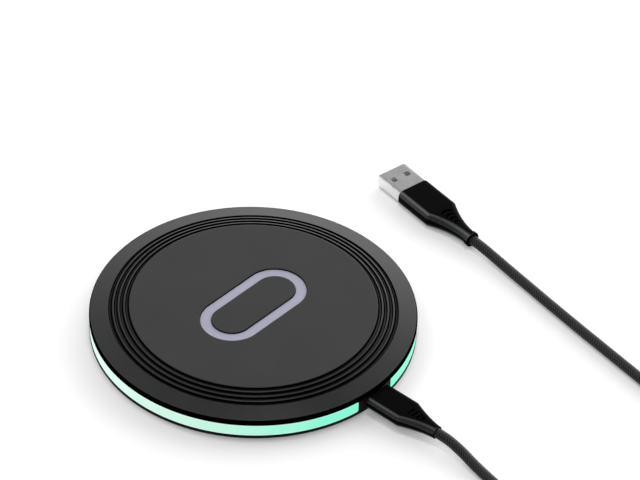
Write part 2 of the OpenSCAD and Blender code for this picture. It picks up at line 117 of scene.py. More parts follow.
CORD_D = 3.6
COIL_CENTRE = Vector((34, -179, 0))
COIL_R, TURN_W = 26, 3.65
LOW_TURNS, CLIMB_TURNS, ALL_TURNS = 2.5, 0.5, 5 + 150 / 360
CLIMB_PINCH = 0.6
COIL_START_DEG = 210
TIE_W, TIE_T, TIE_DEG = 6, 0.8, 270
TIE_FILLET, TIE_EDGE_FILLET = 1.9, 0.3
LIFT_FROM_DEG, LIFT_OVER_DEG = 42, 26
LEAD_ROUTE = [
    (0, -80, 3.9), (0, -86, 3.7), (-0.5, -92, 2.9), (-1.6, -98, 2.1), (-3, -105, 1.8),
    (-4.9, -115, 1.8), (-6.2, -126, 1.8), (-6.4, -137, 1.8), (-5.5, -148, 1.8), (-3.4, -159, 1.8),
    (0.1, -170, 1.8), (5, -181, 1.8),
]
TAIL_ROUTE = [
    (60, -171, 5), (60.5, -163, 3.8), (61.5, -154, 2.4), (62.8, -145, 1.8),
    (64.3, -136, 1.8), (65.8, -127, 1.8), (67.4, -118, 1.8), (69, -109, 1.8),
    (70.6, -100, 1.8), (72.2, -91, 1.8), (73.8, -82, 1.8), (75.5, -73, 1.8), (77.2, -64, 1.8),
    (79, -55, 1.8), (80.7, -46, 1.9), (82.1, -38, 2.2), (83.1, -31, 2.7), (83.85, -24.6, 2.9),
]


def add_object(name, data):
    """A new object in the scene."""
    obj = bpy.data.objects.new(name, data)
    bpy.context.scene.collection.objects.link(obj)
    return obj


# ---- Camera ----------------------------------------------------------------

CAMERA_AIM = Vector((0.0499, 0.0146, 0))
CAMERA_DISTANCE = 1.3708
CAMERA_AZIMUTH = math.radians(-49.392)
CAMERA_ELEVATION = math.radians(39.835)
CAMERA_ROLL = math.radians(2.039)
CAMERA_LENS, CAMERA_SENSOR = 223.456, 36


def make_camera():
    """The camera at the photograph's viewing angle."""
    back = Vector((
        math.sin(CAMERA_AZIMUTH) * math.cos(CAMERA_ELEVATION),
        -math.cos(CAMERA_AZIMUTH) * math.cos(CAMERA_ELEVATION),
        math.sin(CAMERA_ELEVATION),
    ))
    data = bpy.data.cameras.new("camera")
    data.lens = CAMERA_LENS
    data.sensor_width = CAMERA_SENSOR
    camera = add_object("camera", data)
    camera.location = CAMERA_AIM + back * CAMERA_DISTANCE
    camera.rotation_mode = "QUATERNION"
    roll = Quaternion((0, 0, 1), CAMERA_ROLL)
    camera.rotation_quaternion = (-back).to_track_quat("-Z", "Y") @ roll
    bpy.context.scene.camera = camera


# ---- Materials: short calls for node trees ---------------------------------


def rgb(red, green, blue):
    """A colour given as 0 to 255 display values, as linear RGBA."""
    def linear(value):
        share = value / 255
        return share / 12.92 if share <= 0.04045 else ((share + 0.055) / 1.055) ** 2.4
    return (linear(red), linear(green), linear(blue), 1)


def scaled(colour, factor):
    """A colour made lighter or darker."""
    return (*[min(1, channel * factor) for channel in colour[:3]], 1)


class Graph:
    """A node tree, and calls that add nodes to it."""

    def __init__(self, tree):
        self.tree = tree

    def add(self, kind, inputs=(), **settings):
        """A node, with its inputs, by name or number, set to values or joined to sockets."""
        node = self.tree.nodes.new(kind)
        for name, value in settings.items():
            setattr(node, name, value)
        for name, value in dict(inputs).items():
            if isinstance(value, bpy.types.NodeSocket):
                self.tree.links.new(value, node.inputs[name])
            else:
                node.inputs[name].default_value = value
        return node

    def ramp(self, fac, *stops):
        """Colours at places from 0 to 1 along fac."""
        node = self.add("ShaderNodeValToRGB", {"Fac": fac})
        elements = node.color_ramp.elements
        while len(elements) < len(stops):
            elements.new(0.5)
        for element, (place, colour) in zip(elements, stops):
            element.position = place
            element.color = colour
        return node.outputs["Color"]

    def span(self, value, from_low, from_high, to_low, to_high):
        """value mapped from one range to another, and kept inside it."""
        node = self.add(
            "ShaderNodeMapRange",
            {"Value": value, "From Min": from_low, "From Max": from_high,
             "To Min": to_low, "To Max": to_high},
        )
        return node.outputs["Result"]

    def math(self, operation, first, second=0.0):
        """The result of one operation on two values or sockets."""
        node = self.add("ShaderNodeMath", operation=operation)
        for socket, value in zip(node.inputs, (first, second)):
            if isinstance(value, bpy.types.NodeSocket):
                self.tree.links.new(value, socket)
            else:
                socket.default_value = value
        return node.outputs["Value"]

    def blend(self, first, first_share, second, second_share):
        """The sum of two sockets, each times its share."""
        return self.math(
            "ADD", self.math("MULTIPLY", first, first_share),
            self.math("MULTIPLY", second, second_share),
        )

    def part(self, vector, axis):
        """One axis of a vector."""
        return self.add("ShaderNodeSeparateXYZ", {"Vector": vector}).outputs[axis]

    def mix(self, share, first, second):
        """Two colours mixed. A Mix node's colours are its inputs 6 and 7 and its output 2."""
        node = self.add("ShaderNodeMix", {0: share, 6: first, 7: second}, data_type="RGBA")
        return node.outputs[2]


class Finish(Graph):
    """A new material with a Principled shader, whose inputs are given by name."""

    def __init__(self, **values):
        self.material = bpy.data.materials.new("finish")
        self.material.use_nodes = True
        super().__init__(self.material.node_tree)
        self.shader = self.tree.nodes["Principled BSDF"]
        for socket, value in values.items():
            self.shader.inputs[socket.replace("_", " ")].default_value = value
        self.coordinates = self.add("ShaderNodeTexCoord").outputs["Object"]

    def join(self, socket, shader_input):
        """Leads a socket into the shader."""
        self.tree.links.new(socket, self.shader.inputs[shader_input])

    def noise(self, size_mm, detail=2.0, stretch=(1, 1, 1)):
        """Noise whose features are about size_mm across, longer along a stretched axis."""
        where = self.add(
            "ShaderNodeMapping",
            {"Vector": self.coordinates, "Scale": [1 / (size_mm * MM * s) for s in stretch]},
        )
        node = self.add(
            "ShaderNodeTexNoise", {"Vector": where.outputs["Vector"], "Scale": 1, "Detail": detail}
        )
        return node.outputs["Fac"]

    def cells(self, size_mm):
        """Distances inside cells that are about size_mm across."""
        node = self.add(
            "ShaderNodeTexVoronoi", {"Vector": self.coordinates, "Scale": 1 / (size_mm * MM)}
        )
        return node.outputs["Distance"]

    def axis(self, name):
        """One coordinate of the object's own space, in metres."""
        return self.part(self.coordinates, name)

    def facing(self, name):
        """How far the surface faces along one of the object's own axes, from -1 to 1."""
        return self.part(self.add("ShaderNodeTexCoord").outputs["Normal"], name)

    def bump(self, height, strength, depth_mm):
        """Relief from a height."""
        node = self.add(
            "ShaderNodeBump", {"Height": height, "Strength": strength, "Distance": depth_mm * MM}
        )
        self.join(node.outputs["Normal"], "Normal")


# ---- Materials, one function for each kind ---------------------------------


def moulded(
    colour, roughness, grain_mm=0.35, relief=0.25, mottle=0.12, specular=0.5, shaded_steep_faces=False,
    polished_edges=None,
):
    """Moulded plastic or rubber: a fine pebbled grain, with faint clouds in colour and gloss.

    With shaded sides, steep faces such as groove walls and the rim's side get painted shade:
    a near-black base colour, and no gloss. With polished_edges, the rounded edges on the -X
    side have that specular level.
    """
    graph = Finish(Specular_IOR_Level=specular)
    clouds = graph.noise(14, detail=4)
    fine = graph.noise(grain_mm * 1.6, detail=3)
    mixed = graph.blend(clouds, 0.6, fine, 0.4)
    gloss = graph.span(mixed, 0.35, 0.65, roughness - 0.04, roughness + 0.04)
    tones = [(0.35, scaled(colour, 1 - mottle)), (0.65, scaled(colour, 1 + mottle))]
    if polished_edges:
        level = graph.math("ABSOLUTE", graph.facing("Z"))
        edge = graph.math(
            "MULTIPLY", graph.span(level, 0.86, 0.99, 1.0, 0.0),
            graph.span(level, 0.15, 0.5, 0.0, 1.0),
        )
        edge = graph.math("MULTIPLY", edge, graph.span(graph.facing("X"), -0.1, 0.1, 1.0, 0.0))
        graph.join(graph.span(edge, 0.0, 1.0, specular, polished_edges), "Specular IOR Level")
    if shaded_steep_faces:
        # Painted shade: steep faces such as groove walls get a near-black base colour.
        steep_face_shade = graph.span(graph.facing("Z"), 0.8, 0.94, 1.0, 0.0)
        mixed = graph.math("SUBTRACT", mixed, steep_face_shade)
        tones.insert(0, (0.0, scaled(colour, 0.08)))
        gloss = graph.math("MAXIMUM", gloss, graph.math("MULTIPLY", steep_face_shade, 0.85))
        graph.join(graph.span(steep_face_shade, 0.0, 1.0, specular, 0.0), "Specular IOR Level")
    graph.join(graph.ramp(mixed, *tones), "Base Color")
    graph.join(gloss, "Roughness")
    graph.bump(graph.cells(grain_mm), relief, 0.02)
    return graph.material


def brushed_metal(
    colour, roughness, stretch=(30, 1, 1), line_mm=0.05, relief=0.12, painted_side_reflection=None
):
    """With a colour for the sides, the sides and folds have that colour as a painted reflection
    of the bright table and a painted highlight, and the level faces keep their own.

    With painted_side_reflection, the sides and folds have that colour, and the level faces keep
    their own.
    """
    graph = Finish(Metallic=1.0)
    lines = graph.noise(line_mm, detail=3, stretch=stretch)
    clouds = graph.noise(3, detail=3)
    tone = graph.blend(lines, 0.4, clouds, 0.6)
    stops = [(0.3, scaled(colour, 0.74)), (0.68, colour)]
    if painted_side_reflection:
        # Painted reflection: faces that are not level turn paler, as if they reflected the bright
        # table.
        level = graph.math("ABSOLUTE", graph.facing("Z"))
        tone = graph.math("ADD", tone, graph.span(level, 0.7, 0.97, 0.6, 0.0))
        stops.append((1.0, painted_side_reflection))
    graph.join(graph.ramp(tone, *stops), "Base Color")
    graph.join(graph.span(lines, 0.3, 0.7, roughness - 0.07, roughness + 0.09), "Roughness")
    graph.bump(lines, relief, 0.01)
    return graph.material


def glowing_guide():
    """Frosted light guide, lit from inside. It is paler along its edges and towards -X."""
    graph = Finish(Roughness=0.35, Specular_IOR_Level=0.3, Emission_Strength=LIGHT_STRENGTH)
    along = graph.math(
        "ADD",
        graph.span(graph.axis("X"), -PAD_R * MM, PAD_R * MM, 0.0, 0.72),
        graph.span(graph.axis("Y"), -PAD_R * MM, PAD_R * MM, 0.28, 0.0),
    )
    clouds = graph.math("MULTIPLY", graph.math("SUBTRACT", graph.noise(6), 0.5), 0.12)
    tint = graph.ramp(
        graph.math("ADD", along, clouds),
        (0.1, GLOW_PALE), (0.2, GLOW_LEFT), (0.5, GLOW_MIDDLE), (0.85, GLOW_GREEN),
    )
    middle = (LIGHT_LOW + LIGHT_HIGH) / 2 * MM
    half = (LIGHT_HIGH - LIGHT_LOW) / 2 * MM
    from_middle = graph.math("ABSOLUTE", graph.math("SUBTRACT", graph.axis("Z"), middle))
    rim = graph.span(from_middle, half * 0.72, half * 0.98, 0.0, 0.5)
    graph.join(graph.mix(rim, tint, GLOW_EDGE), "Emission Color")
    graph.join(graph.ramp(clouds, (0.0, GUIDE_BODY), (1.0, scaled(GUIDE_BODY, 1.1))), "Base Color")
    graph.bump(graph.noise(0.3), 0.05, 0.01)
    return graph.material


def braided_nylon(dark, light):
    """Braid: the relief stored on the mesh makes the crowns of the strands paler than the gaps.

    The paler crowns are painted sheen on black nylon.
    """
    graph = Finish(Specular_IOR_Level=0.2)
    relief = graph.add("ShaderNodeAttribute", attribute_name="relief").outputs["Fac"]
    threads = graph.noise(0.16, detail=2)
    # Painted sheen: the crowns of the strands turn paler than the black gaps.
    tone = graph.blend(relief, 0.8, threads, 0.3)
    graph.join(graph.ramp(tone, (0.6, dark), (1.0, light)), "Base Color")
    graph.join(graph.span(threads, 0.3, 0.7, 0.38, 0.55), "Roughness")
    graph.bump(threads, 0.35, 0.05)
    return graph.material


def circuit_board():
    """Green solder mask over faint copper traces, with a slight orange-peel."""
    graph = Finish(Roughness=0.32, Coat_Weight=0.4, Coat_Roughness=0.2)
    traces = graph.add(
        "ShaderNodeTexBrick",
        {"Vector": graph.coordinates, "Scale": 400.0, "Mortar Size": 0.06,
         "Color1": rgb(16, 84, 50), "Color2": rgb(12, 74, 44), "Mortar": rgb(40, 118, 72)},
    )
    graph.join(traces.outputs["Color"], "Base Color")
    graph.bump(graph.noise(0.5), 0.1, 0.02)
    return graph.material


def stranded_wire(colour):
    """Varnished copper litz: fine strands round the winding, with warm variation."""
    graph = Finish(Metallic=1.0, Coat_Weight=0.5, Coat_Roughness=0.2)
    strands = graph.add(
        "ShaderNodeTexWave", {"Vector": graph.coordinates, "Scale": 900.0, "Distortion": 1.2},
        wave_type="RINGS", rings_direction="Z",
    ).outputs["Fac"]
    graph.join(graph.ramp(strands, (0.1, scaled(colour, 0.55)), (0.8, colour)), "Base Color")
    graph.join(graph.span(graph.noise(0.6), 0.3, 0.7, 0.3, 0.45), "Roughness")
    graph.bump(strands, 0.5, 0.05)
    return graph.material


def hook_and_loop(colour):
    """Napped strap: short tangled loops."""
    graph = Finish(Specular_IOR_Level=0.2, Sheen_Weight=0.35, Sheen_Roughness=0.5)
    loops = graph.cells(0.25)
    nap = graph.ramp(loops, (0.05, scaled(colour, 0.5)), (0.6, scaled(colour, 1.6)))
    graph.join(nap, "Base Color")
    graph.join(graph.span(loops, 0.0, 0.6, 0.75, 0.95), "Roughness")
    graph.bump(loops, 0.8, 0.12)
    return graph.material


LIGHT_STRENGTH = 1.0
GLOW_PALE = rgb(214, 238, 228)
GLOW_LEFT = rgb(198, 235, 218)
GLOW_MIDDLE = rgb(124, 238, 204)
GLOW_GREEN = rgb(104, 238, 198)
GLOW_EDGE = rgb(226, 250, 242)
GUIDE_BODY = rgb(62, 92, 82)


def make_materials():
    """Every slot's material, by the record's slot name."""
    made = {
        # Painted shade on the cover's groove walls and rim side.
        "cover_plastic": moulded(
            rgb(30, 30, 31), 0.32, grain_mm=0.3, relief=0.1, specular=0.24, shaded_steep_faces=True
        ),
        "base_plastic": moulded(rgb(12, 12, 13), 0.6, grain_mm=0.4, specular=0.12),
        "foot_rubber": moulded(rgb(26, 26, 26), 0.8, grain_mm=0.6, relief=0.4, specular=0.3),
        "grip_silicone": moulded(
            rgb(164, 164, 181), 0.62, grain_mm=0.22, mottle=0.05, specular=0.25
        ),
        "light_guide": glowing_guide(),
        "flex_circuit": moulded(rgb(224, 214, 180), 0.4, relief=0.1),
        "led_body": moulded(rgb(246, 232, 190), 0.3, relief=0.05),
        "board_green": circuit_board(),
        "screw_steel": brushed_metal(rgb(170, 170, 176), 0.32, stretch=(1, 1, 1), line_mm=0.2),
        # The shell's sides and folds get a pale painted reflection.
        "connector_steel": brushed_metal(
            rgb(140, 140, 141), 0.26, relief=0.1, painted_side_reflection=rgb(232, 232, 232)
        ),
        "connector_plastic": moulded(rgb(28, 28, 28), 0.45, relief=0.1),
        "chip_black": moulded(rgb(34, 34, 36), 0.55, grain_mm=0.15, relief=0.15),
        "ferrite_grey": moulded(rgb(84, 84, 88), 0.6, grain_mm=0.5),
        "ceramic_tan": moulded(rgb(196, 176, 142), 0.4, relief=0.1),
        "capacitor_yellow": moulded(rgb(222, 192, 84), 0.4, relief=0.1),
        "connector_white": moulded(rgb(232, 232, 222), 0.4, relief=0.1),
        "copper_wire": stranded_wire(rgb(206, 128, 82)),
        "adhesive_film": moulded(rgb(216, 210, 186), 0.3, relief=0.05),
        "plug_rubber": moulded(
            rgb(4, 4, 5), 0.4, grain_mm=0.2, relief=0.08, specular=0.01, polished_edges=0.9
        ),
        "cord_braid": braided_nylon(rgb(2, 2, 3), rgb(76, 76, 79)),
        "tie_rubber": hook_and_loop(rgb(26, 26, 27)),
        "insulator_white": moulded(rgb(206, 200, 186), 0.45, relief=0.1),
        "contact_gold": brushed_metal(rgb(186, 170, 136), 0.3, stretch=(1, 20, 1)),
    }
    for slot, material in made.items():
        material.name = slot
    return made


MATERIALS = make_materials()


# ---- Mesh building ---------------------------------------------------------

PAD_SEGMENTS = 288
SMALL_SEGMENTS = 48
SMOOTH_DEG = 32
FILLET_STEPS = 4


def rounded(corners, closed=True, steps=FILLET_STEPS):
    """A 2D outline whose corners, given as (x, y) or (x, y, radius), are rounded off."""
    points = [Vector(corner[:2]) for corner in corners]
    radii = [corner[2] if len(corner) > 2 else 0 for corner in corners]
    outline = []
    last = len(points) - 1
    for i, (corner, radius) in enumerate(zip(points, radii)):
        if radius == 0 or (not closed and i in (0, last)):
            outline.append(corner)
            continue
        back, ahead = points[i - 1] - corner, points[(i + 1) % len(points)] - corner
        half = back.angle(ahead) / 2
        reach = min(radius / math.tan(half), 0.49 * min(back.length, ahead.length))
        radius = reach * math.tan(half)
        inwards = (back.normalized() + ahead.normalized()).normalized()
        centre = corner + inwards * (radius / math.sin(half))
        start = corner + back.normalized() * reach - centre
        turn = start.angle_signed(corner + ahead.normalized() * reach - centre)
        for step in range(steps + 1):
            angle = -turn * step / steps
            c, s = math.cos(angle), math.sin(angle)
            outline.append(centre + Vector((start.x * c - start.y * s, start.x * s + start.y * c)))
    return outline


def circle(radius, z, centre=(0, 0), segments=PAD_SEGMENTS):
    """A level ring, or one point where the radius is nothing."""
    if radius == 0:
        return [(*centre, z)]
    angles = [2 * math.pi * k / segments for k in range(segments)]
    return [(centre[0] + radius * math.cos(a), centre[1] + radius * math.sin(a), z) for a in angles]


def stadium(outset, z):
    """A level ring round the grip ring's outer outline, outset by some millimetres."""
    straight = (GRIP_L - GRIP_W) / 2
    end_r = GRIP_W / 2 + outset
    ring = []
    for k in range(PAD_SEGMENTS):
        angle = 2 * math.pi * k / PAD_SEGMENTS
        c, s = math.cos(angle), math.sin(angle)
        if abs(s) > 1e-9 and end_r / abs(s) * abs(c) <= straight:
            r = end_r / abs(s)
        else:
            r = straight * abs(c) + math.sqrt(end_r ** 2 - (straight * s) ** 2)
        ring.append((r * c, r * s, z))
    return ring


def corner_arcs(width, height, radius, steps, z=0):
    """An upright section's four round corners, each a list of (x, z), starting at +X and +Z."""
    arcs = []
    for sign_x, sign_z, first in ((1, 1, 0), (-1, 1, 90), (-1, -1, 180), (1, -1, 270)):
        arc = []
        for k in range(steps + 1):
            angle = math.radians(first + 90 * k / steps)
            arc.append((
                sign_x * (width / 2 - radius) + radius * math.cos(angle),
                z + sign_z * (height / 2 - radius) + radius * math.sin(angle),
            ))
        arcs.append(arc)
    return arcs


def bar_section(width, height, radius, y, z):
    """An upright ring with round corners, across the Y axis, with extra points on its flats."""
    steps, flat_steps = 8, 4
    arcs = [
        [(x, y, up) for x, up in arc] for arc in corner_arcs(width, height, radius, steps, z)
    ]
    ring = []
    for arc, ahead in zip(arcs, arcs[1:] + arcs[:1]):
        start, end = Vector(arc[-1]), Vector(ahead[0])
        ring += arc
        ring += [tuple(start.lerp(end, k / flat_steps)) for k in range(1, flat_steps)]
    return ring


class Shells:
    """The points and faces of one piece's shells, in millimetres."""

    def __init__(self):
        self.points = []
        self.faces = []

    def skin(self, rings, closed=False):
        """Joins rings of equal length. A ring of one point is a tip, and open ends are capped."""
        starts = []
        for ring in rings:
            starts.append(len(self.points))
            self.points += [tuple(point) for point in ring]
        spans = [(i, i + 1) for i in range(len(rings) - 1)]
        if closed:
            spans.append((len(rings) - 1, 0))
        for i, j in spans:
            self.bridge(starts[i], len(rings[i]), starts[j], len(rings[j]))
        for i in () if closed else (0, len(rings) - 1):
            if len(rings[i]) > 1:
                self.faces.append([starts[i] + k for k in range(len(rings[i]))])

    def bridge(self, a, a_count, b, b_count):
        """The faces between two rings that start at points a and b."""
        for k in range(max(a_count, b_count)):
            ahead = (k + 1) % max(a_count, b_count)
            if a_count == 1:
                self.faces.append([a, b + ahead, b + k])
            elif b_count == 1:
                self.faces.append([a + k, a + ahead, b])
            else:
                self.faces.append([a + k, a + ahead, b + ahead, b + k])

    def mesh(self, name):
        """The mesh in metres, with its faces turned outwards."""
        mesh = bpy.data.meshes.new(name)
        mesh.from_pydata([[c * MM for c in point] for point in self.points], [], self.faces)
        tidy = bmesh.new()
        tidy.from_mesh(mesh)
        bmesh.ops.recalc_face_normals(tidy, faces=tidy.faces)
        tidy.to_mesh(mesh)
        tidy.free()
        return mesh


def shade(mesh):
    """Smooth shading, except across sharp edges."""
    mesh.shade_smooth()
    mesh.set_sharp_from_angle(angle=math.radians(SMOOTH_DEG))


def settle(obj):
    """Applies an object's modifiers to its mesh."""
    graph = bpy.context.evaluated_depsgraph_get()
    solid = bpy.data.meshes.new_from_object(obj.evaluated_get(graph))
    obj.modifiers.clear()
    obj.data = solid


def place(mesh, body, slot, replaced, matrix=None):
    """Turns a mesh into a piece: its place, its body, its finish and the nodes it replaces."""
    obj = add_object(mesh.name, mesh)
    if matrix is not None:
        obj.matrix_world = matrix
    mesh.materials.append(MATERIALS[slot])
    shade(mesh)
    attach(obj, body)
    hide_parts(*replaced)
    return obj


def weight_normals(obj):
    """Keeps flat faces flat in shading beside their rounded edges."""
    modifier = obj.modifiers.new("flat_faces", "WEIGHTED_NORMAL")
    modifier.keep_sharp = True
    modifier.weight = 80


def cut(obj, cutter_mesh):
    """Cuts a closed mesh out of an object."""
    cutter = add_object("cutter", cutter_mesh)
    cutter.matrix_world = obj.matrix_world
    boolean = obj.modifiers.new("cut", "BOOLEAN")
    boolean.object = cutter
    boolean.solver = "EXACT"
    bpy.context.view_layer.update()
    settle(obj)
    bpy.data.objects.remove(cutter)
    shade(obj.data)


# ---- Lead ------------------------------------------------------------------

STRANDS = 10
SAMPLES = 3
BRAID_DEPTH = 0.18
STRAND_POWER = 0.6  # lower is squarer
UNDER_HEIGHT = 0.3  # of a strand's full height, where it passes under
CURVE_STEPS = 12
COIL_STEPS_PER_TURN = 36


def eased(share):
    """A share from 0 to 1, with a gentle start and end."""
    return share * share * (3 - 2 * share)


def coil_line():
    """The coil's centreline: flat turns inwards, a short climb, and flat turns back outwards."""
    inner_r = COIL_R - LOW_TURNS * TURN_W
    high = LOW_TURNS + CLIMB_TURNS
    line = []
    for k in range(round(ALL_TURNS * COIL_STEPS_PER_TURN) + 1):
        turn = k / COIL_STEPS_PER_TURN
        if turn <= LOW_TURNS:
            r, z = COIL_R - TURN_W * turn, CORD_D / 2
        elif turn < high:
            share = (turn - LOW_TURNS) / CLIMB_TURNS
            r = inner_r - CLIMB_PINCH * math.sin(math.pi * share)
            z = CORD_D / 2 + CORD_D * eased(share)
        else:
            r = inner_r + (COIL_R - inner_r) * (turn - high) / (ALL_TURNS - high)
            z = CORD_D * 1.5
        degrees = COIL_START_DEG + 360 * turn
        from_tie = abs((degrees - TIE_DEG + 180) % 360 - 180)
        z += TIE_T * eased(min(1, max(0, (LIFT_FROM_DEG - from_tie) / LIFT_OVER_DEG)))
        angle = math.radians(degrees)
        line.append(COIL_CENTRE + Vector((r * math.cos(angle), r * math.sin(angle), z)))
    return line


def even_line(points, step):
    """A smooth curve through the points, sampled again at an even step."""
    padded = [points[0] * 2 - points[1], *points, points[-1] * 2 - points[-2]]
    fine = []
    for p0, p1, p2, p3 in zip(padded, padded[1:], padded[2:], padded[3:]):
        for k in range(CURVE_STEPS):
            t = k / CURVE_STEPS
            fine.append(0.5 * (
                2 * p1 + (p2 - p0) * t + (2 * p0 - 5 * p1 + 4 * p2 - p3) * t ** 2
                + (3 * p1 - p0 - 3 * p2 + p3) * t ** 3
            ))
    fine.append(points[-1])
    even, travelled = [fine[0]], 0.0
    for a, b in zip(fine, fine[1:]):
        length = (b - a).length
        while travelled + length >= step * len(even):
            even.append(a.lerp(b, (step * len(even) - travelled) / length))
        travelled += length
    return even


def braid_relief(around, along):
    """The braid's height from 0 to 1. Strands run both ways and float over two, then under two."""
    a, b = around + along, around - along
    i, j = math.floor(a), math.floor(b)
    rise = 0.5 + 0.5 * math.cos(math.pi / 2 * (b + i - 1))
    fall = 0.5 + 0.5 * math.cos(math.pi / 2 * (a + j - 3))
    one = math.sin(math.pi * (a - i)) ** STRAND_POWER * (UNDER_HEIGHT + (1 - UNDER_HEIGHT) * rise)
    other = math.sin(math.pi * (b - j)) ** STRAND_POWER * (UNDER_HEIGHT + (1 - UNDER_HEIGHT) * fall)
    return max(one, other)


def make_cord():
    """The whole lead as one braided tube from plug to plug, through its coil."""
    sides = STRANDS * SAMPLES
    step = math.pi * CORD_D / sides
    route = [Vector(p) for p in LEAD_ROUTE] + coil_line() + [Vector(p) for p in TAIL_ROUTE]
    line = even_line(route, step)
    relief_at = {
        (m, n): braid_relief(m / SAMPLES, n / SAMPLES)
        for m in range(sides) for n in range(4 * SAMPLES)
    }
    rings, relief = [], []
    side = Vector((1, 0, 0))
    for n, point in enumerate(line):
        heading = (line[min(n + 1, len(line) - 1)] - line[max(n - 1, 0)]).normalized()
        side = (side - heading * side.dot(heading)).normalized()
        up = heading.cross(side)
        heights = [relief_at[m, n % (4 * SAMPLES)] for m in range(sides)]
        ring = []
        for m, height in enumerate(heights):
            angle = 2 * math.pi * m / sides
            r = CORD_D / 2 - BRAID_DEPTH * (1 - height)
            ring.append(point + (side * math.cos(angle) + up * math.sin(angle)) * r)
        rings.append(ring)
        relief += heights
    shells = Shells()
    shells.skin(rings)
    mesh = shells.mesh("lead_cord_braided")
    mesh.attributes.new("relief", "FLOAT", "POINT").data.foreach_set("value", relief)
    cord = place(mesh, "cable", "cord_braid", ("cord_lead", "cord_coil", "cord_tail"))
    cord.data.shade_smooth()
    return cord, [tuple(point * MM) for point in line[::SAMPLES]] + [tuple(line[-1] * MM)]


# ---- Pad covers ------------------------------------------------------------


def top_z(r):
    """Height of the pad's top at a radius: the flat disc, the grooved band and the outer ring."""
    if r <= DISC_R:
        return PAD_TOP
    if r <= BAND_R:
        return PAD_TOP + (BAND_Z - PAD_TOP) * (r - DISC_R) / (BAND_R - DISC_R)
    return BAND_Z + (RIM_Z - BAND_Z) * (r - BAND_R) / (PAD_R - BAND_R)


def make_top_cover():
    """Top cover: disc with the grip ring's recess, four grooves, sloping rim and screw posts."""
    # Plain rings beside the fillets keep the wide faces flat.
    recess_z = PAD_TOP - GRIP_SUNK - GRIP_T
    lip_fillet, floor_fillet, beside = 0.1, 0.05, 0.6
    recess = rounded([
        (-GRIP_BAND - beside, PAD_TOP), (-GRIP_BAND, PAD_TOP, lip_fillet),
        (-GRIP_BAND, recess_z, floor_fillet), (0, recess_z, floor_fillet),
        (0, PAD_TOP, lip_fillet), (beside, PAD_TOP),
    ], closed=False)
    corners = [(DISC_R - 2, PAD_TOP), (DISC_R, PAD_TOP, DISC_FILLET)]
    for k in range(GROOVE_COUNT):
        inner = GROOVE_R + k * GROOVE_PITCH - GROOVE_W / 2
        outer = inner + GROOVE_W
        slope = (GROOVE_W - GROOVE_FLOOR_W) / 2
        corners += [
            (inner, top_z(inner), GROOVE_INNER_FILLET),
            (inner + slope, top_z(inner) - GROOVE_DEPTH, GROOVE_FLOOR_FILLET),
            (outer - slope, top_z(outer) - GROOVE_DEPTH, GROOVE_FLOOR_FILLET),
            (outer, top_z(outer), GROOVE_OUTER_FILLET),
        ]
    corners += [
        (BAND_R, BAND_Z, BAND_FILLET), (BAND_R + 1.5, top_z(BAND_R + 1.5)),
        (PAD_R - RIM_CHAMFER_W, top_z(PAD_R - RIM_CHAMFER_W), RIM_FILLET),
        (PAD_R, RIM_Z - RIM_CHAMFER_H, RIM_FILLET), (PAD_R, LIGHT_HIGH, RIM_FILLET),
        (STEP_R, LIGHT_HIGH), (STEP_R, STEP_Z), (ROOF_R, ROOF_Z), (0, ROOF_Z),
    ]
    shells = Shells()
    shells.skin(
        [circle(0, PAD_TOP)]
        + [stadium(p.x, p.y) for p in recess]
        + [circle(p.x, p.y) for p in rounded(corners, closed=False)]
    )
    post = (
        (0, BORE_TOP), (BORE_R, BORE_TOP), (BORE_R, POST_LOW), (POST_R, POST_LOW),
        (POST_R, POST_HIGH), (0, POST_HIGH),
    )
    for angle in POST_ANGLES:
        a = math.radians(angle)
        centre = (POST_PLACE_R * math.cos(a), POST_PLACE_R * math.sin(a))
        shells.skin([circle(r, z, centre, SMALL_SEGMENTS) for r, z in post])
    cover = place(shells.mesh("top_cover_moulded"), "pad", "cover_plastic", ["top_cover"])
    weight_normals(cover)


def make_grip_ring():
    """Silicone ring in the disc's recess, with soft top edges."""
    gap, fillet = 0.03, 0.14
    top = PAD_TOP - GRIP_SUNK
    outline = rounded([
        (-GRIP_BAND + gap, top - GRIP_T), (-GRIP_BAND + gap, top, fillet),
        (-gap, top, fillet), (-gap, top - GRIP_T),
    ])
    shells = Shells()
    shells.skin([stadium(p.x, p.y) for p in outline], closed=True)
    weight_normals(place(shells.mesh("grip_ring_silicone"), "pad", "grip_silicone", ["grip_ring"]))


def make_light_guide():
    """Band of frosted plastic round the rim, with round corners where the port interrupts it."""
    end_r, end_steps, sweep_steps, fillet = 0.7, 5, 240, 0.22
    section = rounded([
        (GUIDE_IN_R, LIGHT_LOW), (GUIDE_OUT_R, LIGHT_LOW, fillet),
        (GUIDE_OUT_R, LIGHT_HIGH, fillet), (GUIDE_IN_R, LIGHT_HIGH),
    ])
    middle, half = (LIGHT_LOW + LIGHT_HIGH) / 2, (LIGHT_HIGH - LIGHT_LOW) / 2
    arc = 2 * math.pi * GUIDE_OUT_R - BRIDGE_W
    ends = []
    for k in range(end_steps):
        a = math.pi / 2 * k / end_steps
        ends.append((end_r * (1 - math.cos(a)) / arc, end_r * (1 - math.sin(a))))
    first = end_r / arc
    inner = [(first + (1 - 2 * first) * k / sweep_steps, 0) for k in range(sweep_steps + 1)]
    stations = ends + inner + [(1 - share, inset) for share, inset in reversed(ends)]
    rings = []
    for share, inset in stations:
        ring = []
        for r, z in section:
            dark = math.asin(BRIDGE_W / 2 / r)
            angle = -math.pi / 2 + dark + share * (2 * math.pi - 2 * dark)
            height = middle + (z - middle) * (half - inset) / half
            ring.append((r * math.cos(angle), r * math.sin(angle), height))
        rings.append(ring)
    shells = Shells()
    shells.skin(rings)
    guide = place(shells.mesh("light_guide_frosted"), "pad", "light_guide", ["light_guide"])
    guide.visible_diffuse = False
    weight_normals(guide)


